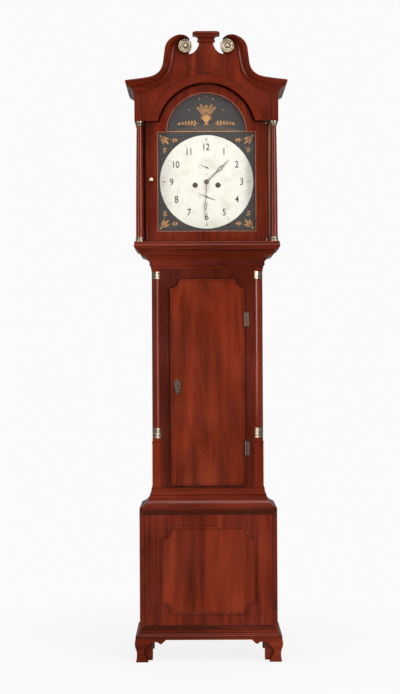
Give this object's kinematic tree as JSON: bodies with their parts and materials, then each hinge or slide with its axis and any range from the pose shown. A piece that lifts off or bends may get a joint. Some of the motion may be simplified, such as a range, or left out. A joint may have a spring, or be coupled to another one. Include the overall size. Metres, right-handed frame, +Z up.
{
  "type": "longcase clock",
  "caption": "Tall mahogany floor clock with a sliding swan-neck hood, arched painted dial, trunk door, pendulum and weight-driven striking movement.",
  "frame": {"origin": "centre of the case's footprint on the floor", "axes": "+Z up, +X to the right seen from the front, the dial faces -Y"},
  "size_m": [0.565, 0.279, 2.2],
  "materials": {
    "mahogany": "french-polished mahogany",
    "mahogany_moulding": "polished mahogany, run mouldings",
    "mahogany_door": "polished figured mahogany veneer",
    "carcase_pine": "stained pine",
    "lacquered_brass": "turned and lacquered, dulled",
    "key_plate_brass": "tarnished stamped brass",
    "movement_brass": "polished clock brass",
    "clock_steel": "polished steel",
    "bell_metal": "cast bell metal",
    "lock_iron": "blacked iron",
    "weight_iron": "cast iron, painted black",
    "painted_dial": "enamelled paint on iron",
    "hand_metal": "stamped, bronzed",
    "window_glass": "clear sheet glass",
    "gut_line": "gut line"
  },
  "bodies": {
    "case": {"backboard": "carcase_pine", "base_boards": "mahogany", "base_front": "mahogany", "plinth_moulding": "mahogany_moulding", "bracket_feet": "mahogany_moulding", "waist_moulding": "mahogany_moulding", "trunk_sides": "mahogany", "trunk_frame": "mahogany", "quarter_columns": "mahogany_moulding", "quarter_column_brasses": "lacquered_brass", "throat_moulding": "mahogany_moulding", "seatboard": "carcase_pine", "trunk_hinges_fixed": "lacquered_brass", "dial": "painted_dial", "movement_frame": "movement_brass", "bell": "bell_metal", "going_line": "gut_line", "strike_line": "gut_line"},
    "trunk_door": {"trunk_door": "mahogany_door", "escutcheon": "key_plate_brass", "trunk_lock": "lock_iron", "trunk_hinges_swinging": "lacquered_brass"},
    "lock_bolt": {"lock_bolt": "clock_steel"},
    "hood": {"tympanum": "mahogany", "pediment_mouldings": "mahogany_moulding", "rosettes": "lacquered_brass", "hood_sides": "mahogany", "hood_base": "mahogany_moulding", "hood_columns": "mahogany_moulding", "hood_column_brasses": "lacquered_brass", "dial_mask": "mahogany_moulding", "hood_pivots": "lacquered_brass"},
    "hood_door": {"hood_door": "mahogany", "hood_glass": "window_glass", "hood_knob": "lacquered_brass"},
    "going_weight": {"going_weight": "weight_iron"},
    "strike_weight": {"strike_weight": "weight_iron"},
    "going_pulley": {"going_pulley": "movement_brass"},
    "strike_pulley": {"strike_pulley": "movement_brass"},
    "going_barrel": {"going_barrel": "movement_brass"},
    "strike_barrel": {"strike_barrel": "movement_brass"},
    "going_great": {"going_great_wheel": "movement_brass"},
    "strike_great": {"strike_great_wheel": "movement_brass"},
    "minute": {"centre_wheel": "movement_brass", "minute_hand": "hand_metal"},
    "hour": {"hour_wheel": "movement_brass", "hour_hand": "hand_metal"},
    "motion": {"motion_wheel": "movement_brass"},
    "third": {"third_wheel": "movement_brass"},
    "escape": {"escape_wheel": "movement_brass", "seconds_hand": "hand_metal"},
    "date": {"date_hand": "hand_metal"},
    "pendulum": {"pendulum_rod": "clock_steel", "pendulum_bob": "lacquered_brass"},
    "anchor": {"anchor": "clock_steel"},
    "pin": {"pin_wheel": "movement_brass"},
    "gathering": {"gathering_wheel": "movement_brass"},
    "warning": {"warning_wheel": "movement_brass"},
    "fly": {"fly": "movement_brass"},
    "hammer": {"hammer": "clock_steel"}
  },
  "joints": [
    {"name": "hood_slide", "type": "slide", "parent": "case", "child": "hood", "axis": [0, -1, 0], "range_m": [0, 0.26]},
    {"name": "hood_door_hinge", "type": "hinge", "parent": "hood", "child": "hood_door", "pos_m": [0.2095, -0.089, 1.68], "axis": [0, 0, 1], "range_deg": [0, 95]},
    {"name": "trunk_door_hinge", "type": "hinge", "parent": "case", "child": "trunk_door", "pos_m": [0.132, -0.0539, 0.97], "axis": [0, 0, 1], "range_deg": [0, 110]},
    {"name": "lock_bolt_slide", "type": "slide", "parent": "trunk_door", "child": "lock_bolt", "axis": [-1, 0, 0], "range_m": [0, 0.007]},
    {"name": "minute_hand_turn", "type": "hinge", "parent": "case", "child": "minute", "pos_m": [0, 0, 1.6835], "axis": [0, 1, 0], "continuous": true},
    {"name": "hour_hand_turn", "type": "hinge", "parent": "case", "child": "hour", "pos_m": [0, 0, 1.6835], "axis": [0, 1, 0], "continuous": true},
    {"name": "motion_wheel_turn", "type": "hinge", "parent": "case", "child": "motion", "pos_m": [0.018, 0, 1.6709], "axis": [0, 1, 0], "continuous": true},
    {"name": "third_wheel_turn", "type": "hinge", "parent": "case", "child": "third", "pos_m": [0.008, 0, 1.7113], "axis": [0, 1, 0], "continuous": true},
    {"name": "seconds_hand_turn", "type": "hinge", "parent": "case", "child": "escape", "pos_m": [0, 0, 1.734], "axis": [0, 1, 0], "continuous": true},
    {"name": "going_great_wheel_turn", "type": "hinge", "parent": "case", "child": "going_great", "pos_m": [0.0403, 0, 1.6715], "axis": [0, 1, 0], "continuous": true},
    {"name": "date_hand_turn", "type": "hinge", "parent": "case", "child": "date", "pos_m": [0, 0, 1.6305], "axis": [0, 1, 0], "continuous": true},
    {"name": "going_weight_rise", "type": "slide", "parent": "case", "child": "going_weight", "axis": [0, 0, 1], "range_m": [0, 1.1], "deforming": ["going_line"]},
    {"name": "going_barrel_wind", "type": "hinge", "parent": "case", "child": "going_barrel", "pos_m": [0.0403, 0, 1.6715], "axis": [0, 1, 0], "range_deg": [-4925, 0]},
    {"name": "strike_weight_rise", "type": "slide", "parent": "case", "child": "strike_weight", "axis": [0, 0, 1], "range_m": [0, 1.1], "deforming": ["strike_line"]},
    {"name": "strike_barrel_wind", "type": "hinge", "parent": "case", "child": "strike_barrel", "pos_m": [-0.0403, 0, 1.6715], "axis": [0, 1, 0], "range_deg": [0, 4925]},
    {"name": "going_pulley_turn", "type": "hinge", "parent": "going_weight", "child": "going_pulley", "pos_m": [0.0879, 0.0115, 0.399], "axis": [0, 1, 0], "range_deg": [0, 2866]},
    {"name": "strike_pulley_turn", "type": "hinge", "parent": "strike_weight", "child": "strike_pulley", "pos_m": [-0.0879, 0.0115, 0.399], "axis": [0, 1, 0], "range_deg": [-2866, 0]},
    {"name": "pendulum_swing", "type": "hinge", "parent": "case", "child": "pendulum", "pos_m": [0, 0, 1.7615], "axis": [0, 1, 0], "range_deg": [-2.5, 2.5]},
    {"name": "anchor_rock", "type": "hinge", "parent": "case", "child": "anchor", "pos_m": [0, 0, 1.7615], "axis": [0, 1, 0], "range_deg": [-2.5, 2.5]},
    {"name": "warning_wheel_turn", "type": "hinge", "parent": "case", "child": "warning", "pos_m": [-0.038, 0, 1.7372], "axis": [0, 1, 0], "continuous": true},
    {"name": "gathering_wheel_turn", "type": "hinge", "parent": "case", "child": "gathering", "pos_m": [-0.0281, 0, 1.7204], "axis": [0, 1, 0], "continuous": true},
    {"name": "pin_wheel_turn", "type": "hinge", "parent": "case", "child": "pin", "pos_m": [-0.0483, 0, 1.7053], "axis": [0, 1, 0], "continuous": true},
    {"name": "strike_great_wheel_turn", "type": "hinge", "parent": "case", "child": "strike_great", "pos_m": [-0.0403, 0, 1.6715], "axis": [0, 1, 0], "continuous": true},
    {"name": "fly_turn", "type": "hinge", "parent": "case", "child": "fly", "pos_m": [-0.031, 0, 1.7521], "axis": [0, 1, 0], "continuous": true},
    {"name": "hammer_lift", "type": "hinge", "parent": "case", "child": "hammer", "pos_m": [-0.058, 0, 1.7355], "axis": [0, -1, 0], "range_deg": [0, 14], "stiffness_Nm_per_rad": 0.2, "springref_deg": -5.73}
  ],
  "couplings": [
    {"joint": "seconds_hand_turn", "follows": "minute_hand_turn", "ratio": 60},
    {"joint": "hour_hand_turn", "follows": "minute_hand_turn", "ratio": 0.083333},
    {"joint": "motion_wheel_turn", "follows": "minute_hand_turn", "ratio": -0.33333},
    {"joint": "third_wheel_turn", "follows": "minute_hand_turn", "ratio": -7.5},
    {"joint": "going_great_wheel_turn", "follows": "minute_hand_turn", "ratio": -0.083333},
    {"joint": "date_hand_turn", "follows": "minute_hand_turn", "ratio": 0.0013441},
    {"joint": "going_barrel_wind", "follows": "going_weight_rise", "rad_per_m": -78.125},
    {"joint": "strike_barrel_wind", "follows": "strike_weight_rise", "rad_per_m": 78.125},
    {"joint": "anchor_rock", "follows": "pendulum_swing", "ratio": 1},
    {"joint": "going_pulley_turn", "follows": "going_weight_rise", "rad_per_m": 45.455},
    {"joint": "strike_pulley_turn", "follows": "strike_weight_rise", "rad_per_m": -45.455},
    {"joint": "gathering_wheel_turn", "follows": "pin_wheel_turn", "ratio": -8},
    {"joint": "warning_wheel_turn", "follows": "pin_wheel_turn", "ratio": 64},
    {"joint": "strike_great_wheel_turn", "follows": "pin_wheel_turn", "ratio": -0.10256},
    {"joint": "fly_turn", "follows": "pin_wheel_turn", "ratio": -438.86}
  ]
}
